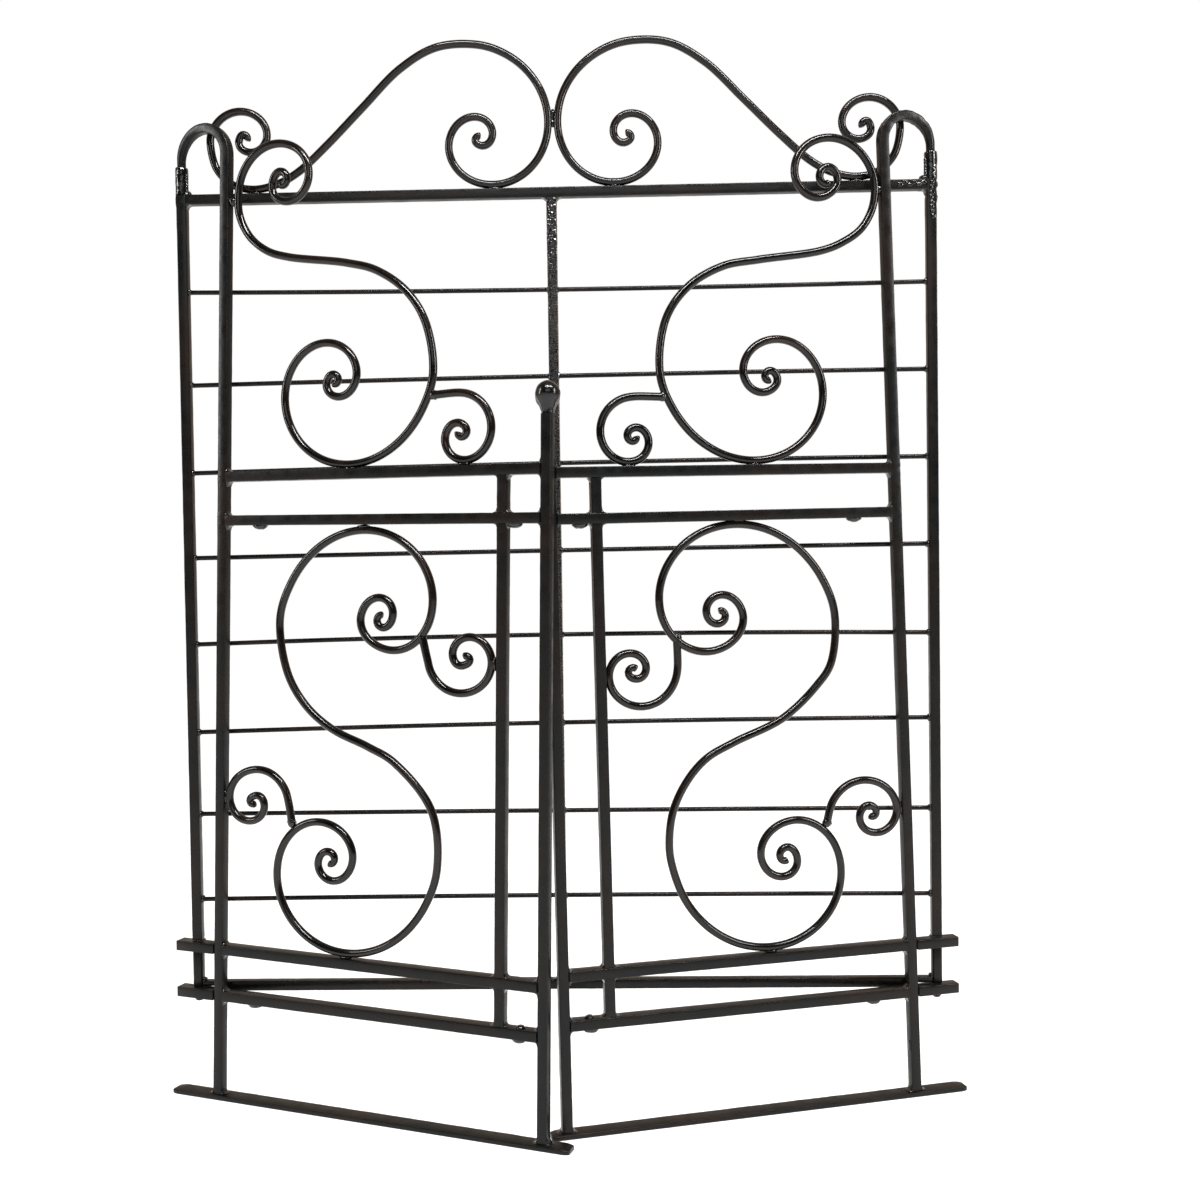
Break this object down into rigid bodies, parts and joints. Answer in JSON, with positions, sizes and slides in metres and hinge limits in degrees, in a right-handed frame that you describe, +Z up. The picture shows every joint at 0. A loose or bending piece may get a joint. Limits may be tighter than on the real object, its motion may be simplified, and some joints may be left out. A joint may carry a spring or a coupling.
{
  "type": "garden gate",
  "caption": "Pair of black wrought-iron garden gates with scrollwork, hinged at the posts of a barred back frame with a scrolled pediment, standing on flat feet.",
  "frame": {"origin": "on the floor, at the middle of the whole gate's plan box in its resting pose", "axes": "+Z up, +X to the right seen from the front, -Y towards the front, into which the leaves open"},
  "size_m": [1.0336, 0.204, 1.3566],
  "materials": {
    "frame_paint": "black enamel brushed over mild steel bar, satin to glossy, with runs and weld spatter under the paint",
    "rung_paint": "black enamel on thin round rod, satin",
    "socket_paint": "thick glossy black enamel over a lumpy weld",
    "pin_paint": "black enamel, rubbed where it turns",
    "leaf_paint": "black enamel on square bar, satin to glossy, faint brush marks",
    "scroll_paint": "black enamel on hand-bent round rod, glossy",
    "finial_paint": "black enamel over a forged, pitted ball",
    "foot_paint": "black enamel on flat bar, scuffed"
  },
  "bodies": {
    "back_frame": {"back_bottom_rail": "frame_paint", "back_centre_bar": "frame_paint", "back_post_left": "frame_paint", "back_post_right": "frame_paint", "back_rung_1": "rung_paint", "back_rung_2": "rung_paint", "back_rung_3": "rung_paint", "back_rung_4": "rung_paint", "back_rung_5": "rung_paint", "back_rung_6": "rung_paint", "back_rung_7": "rung_paint", "back_rung_8": "rung_paint", "back_socket_left": "socket_paint", "back_socket_right": "socket_paint", "back_top_rail": "frame_paint", "lower_pivot_left": "pin_paint", "lower_pivot_right": "pin_paint", "pediment_scroll_left": "scroll_paint", "pediment_scroll_right": "scroll_paint"},
    "left_leaf": {"left_ball_finial": "finial_paint", "left_foot_bar": "foot_paint", "left_hinge_post": "leaf_paint", "left_inner_bar_lower": "leaf_paint", "left_inner_bar_middle": "leaf_paint", "left_inner_bar_upper": "leaf_paint", "left_lower_mid_rail": "leaf_paint", "left_lower_pivot_arm": "leaf_paint", "left_lower_s_scroll": "scroll_paint", "left_lowest_rail": "leaf_paint", "left_meeting_stile": "leaf_paint", "left_mid_c_scroll": "scroll_paint", "left_small_lower_scroll": "scroll_paint", "left_small_upper_scroll": "scroll_paint", "left_top_scroll": "scroll_paint", "left_upper_bottom_rail": "leaf_paint", "left_upper_mid_rail": "leaf_paint", "left_upper_pivot_arm": "leaf_paint"},
    "right_leaf": {"right_ball_finial": "finial_paint", "right_foot_bar": "foot_paint", "right_hinge_post": "leaf_paint", "right_inner_bar_lower": "leaf_paint", "right_inner_bar_middle": "leaf_paint", "right_inner_bar_upper": "leaf_paint", "right_lower_mid_rail": "leaf_paint", "right_lower_pivot_arm": "leaf_paint", "right_lower_s_scroll": "scroll_paint", "right_lowest_rail": "leaf_paint", "right_meeting_stile": "leaf_paint", "right_mid_c_scroll": "scroll_paint", "right_small_lower_scroll": "scroll_paint", "right_small_upper_scroll": "scroll_paint", "right_top_scroll": "scroll_paint", "right_upper_bottom_rail": "leaf_paint", "right_upper_mid_rail": "leaf_paint", "right_upper_pivot_arm": "leaf_paint"}
  },
  "joints": [
    {"name": "left_leaf_hinge", "type": "hinge", "parent": "back_frame", "child": "left_leaf", "pos_m": [-0.47998, 0.08692, 0], "axis": [0, 0, -1], "range_deg": [0, 120]},
    {"name": "right_leaf_hinge", "type": "hinge", "parent": "back_frame", "child": "right_leaf", "pos_m": [0.48002, 0.08692, 0], "axis": [0, 0, 1], "range_deg": [0, 120]}
  ],
  "couplings": [
    {"joint": "right_leaf_hinge", "follows": "left_leaf_hinge", "ratio": 1}
  ]
}
